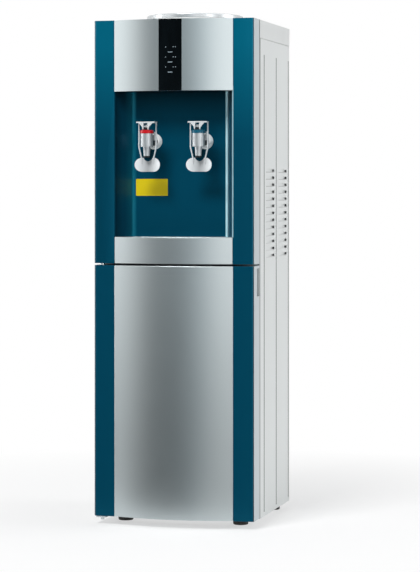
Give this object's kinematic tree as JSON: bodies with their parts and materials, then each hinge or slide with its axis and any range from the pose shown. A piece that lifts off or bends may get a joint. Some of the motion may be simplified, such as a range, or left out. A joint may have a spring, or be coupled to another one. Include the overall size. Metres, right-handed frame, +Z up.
{
  "type": "water cooler",
  "caption": "Free-standing bottled-water cooler: bowed silver front, teal corner columns, tap niche with hot and cold taps, drip tray, hinged storage door.",
  "frame": {"origin": "on the floor under the middle of the case", "axes": "+Z up, the front with the taps and the door faces -Y, +X is the user's right when facing the front"},
  "size_m": [0.31, 0.32, 0.965],
  "materials": {
    "painted_steel": "smooth off-white powder coat",
    "zinc_steel": "zinc-plated sheet",
    "bright_steel": "bright plated",
    "stainless": "drawn stainless",
    "aluminium": "as extruded",
    "teal_plastic": "satin teal, slightly pearly",
    "silver_plastic": "silver metallic lacquer",
    "grey_plastic": "fine satin light grey",
    "white_plastic": "fine satin off-white",
    "black_plastic": "fine satin black",
    "display_black": "black gloss",
    "lens_clear": "clear light pipe",
    "circuit_board": "green solder mask",
    "tap_silver": "silver tap plastic",
    "lever_white": "pearl white-silver",
    "ring_red": "red",
    "ring_blue": "teal blue",
    "foam": "moulded foam",
    "ceramic_plate": "white ceramic plates",
    "silicone": "translucent silicone",
    "rubber_black": "matt black rubber",
    "brass_band": "mica and brass band",
    "switch_red": "red rocker",
    "switch_green": "green rocker"
  },
  "bodies": {
    "case": {"base_plate": "zinc_steel", "feet": "rubber_black", "side_panel_left": "painted_steel", "side_panel_right": "painted_steel", "back_panel": "painted_steel", "top_cover": "white_plastic", "divider_shelf": "zinc_steel", "tank_shelf": "zinc_steel", "upper_surround": "grey_plastic", "front_panel": "teal_plastic", "control_fascia": "silver_plastic", "display_window": "display_black", "indicator_lenses": "lens_clear", "control_board": "circuit_board", "catch_magnet": "black_plastic", "hinge_pin_top": "bright_steel", "hinge_bracket": "bright_steel", "cabinet_liner": "white_plastic", "cabinet_shelf": "white_plastic", "tap_collars": "lever_white", "tap_nuts": "white_plastic", "cold_tank": "stainless", "tank_insulation": "foam", "tank_baffle": "white_plastic", "cold_block": "aluminium", "peltier_module": "ceramic_plate", "heat_sink": "aluminium", "fan_frame": "black_plastic", "hot_tank": "stainless", "hot_insulation": "foam", "heater_band": "brass_band", "thermostats": "black_plastic", "power_supply": "zinc_steel", "water_hoses": "silicone", "drain_outlet": "white_plastic", "switch_frame": "black_plastic", "mains_inlet": "black_plastic", "case_screws": "bright_steel", "hot_tap_body": "tap_silver", "hot_tap_ring": "ring_red", "hot_valve_spring": "bright_steel", "cold_tap_body": "tap_silver", "cold_tap_ring": "ring_blue", "cold_valve_spring": "bright_steel"},
    "door": {"door_frame": "teal_plastic", "door_fascia": "silver_plastic", "door_liner": "grey_plastic", "catch_plate": "bright_steel"},
    "drip_tray": {"drip_tray": "silver_plastic"},
    "drip_grille": {"drip_grille": "grey_plastic"},
    "hot_lever": {"hot_tap_lever": "lever_white"},
    "cold_lever": {"cold_tap_lever": "lever_white"},
    "hot_stem": {"hot_valve_stem": "white_plastic"},
    "cold_stem": {"cold_valve_stem": "white_plastic"},
    "bottle_seat": {"bottle_seat": "silver_plastic", "bottle_spike": "white_plastic"},
    "fan_rotor": {"fan_rotor": "black_plastic"},
    "drain_cap": {"drain_cap": "white_plastic"},
    "hot_switch": {"hot_switch": "switch_red"},
    "cold_switch": {"cold_switch": "switch_green"}
  },
  "joints": [
    {"name": "door_hinge", "type": "hinge", "parent": "case", "child": "door", "pos_m": [-0.143, -0.127, 0.25], "axis": [0, 0, -1], "range_deg": [0, 115]},
    {"name": "tray_slide", "type": "slide", "parent": "case", "child": "drip_tray", "axis": [0, -1, 0], "range_m": [0, 0.1]},
    {"name": "grille_lift", "type": "slide", "parent": "drip_tray", "child": "drip_grille", "axis": [0, 0, 1], "range_m": [0, 0.03]},
    {"name": "hot_lever_press", "type": "hinge", "parent": "case", "child": "hot_lever", "pos_m": [-0.05, -0.154, 0.7436], "axis": [1, 0, 0], "range_deg": [0, 12], "stiffness_Nm_per_rad": 0.8, "deforming": ["hot_valve_spring"]},
    {"name": "cold_lever_press", "type": "hinge", "parent": "case", "child": "cold_lever", "pos_m": [0.05, -0.154, 0.7436], "axis": [1, 0, 0], "range_deg": [0, 12], "stiffness_Nm_per_rad": 0.8, "deforming": ["cold_valve_spring"]},
    {"name": "hot_stem_lift", "type": "slide", "parent": "case", "child": "hot_stem", "axis": [0, 0, 1], "range_m": [0, 0.0018]},
    {"name": "cold_stem_lift", "type": "slide", "parent": "case", "child": "cold_stem", "axis": [0, 0, 1], "range_m": [0, 0.0018]},
    {"name": "bottle_seat_lift", "type": "slide", "parent": "case", "child": "bottle_seat", "axis": [0, 0, 1], "range_m": [0, 0.15]},
    {"name": "fan_spin", "type": "hinge", "parent": "case", "child": "fan_rotor", "pos_m": [0, 0.139, 0.73], "axis": [0, 1, 0], "continuous": true},
    {"name": "drain_cap_off", "type": "slide", "parent": "case", "child": "drain_cap", "axis": [0, 1, 0], "range_m": [0, 0.02]},
    {"name": "hot_switch_rock", "type": "hinge", "parent": "case", "child": "hot_switch", "pos_m": [0.073, 0.143, 0.575], "axis": [-1, 0, 0], "range_deg": [0, 14]},
    {"name": "cold_switch_rock", "type": "hinge", "parent": "case", "child": "cold_switch", "pos_m": [0.097, 0.143, 0.575], "axis": [-1, 0, 0], "range_deg": [0, 14]}
  ],
  "couplings": [
    {"joint": "hot_stem_lift", "follows": "hot_lever_press", "m_per_rad": 0.0084},
    {"joint": "cold_stem_lift", "follows": "cold_lever_press", "m_per_rad": 0.0084}
  ]
}
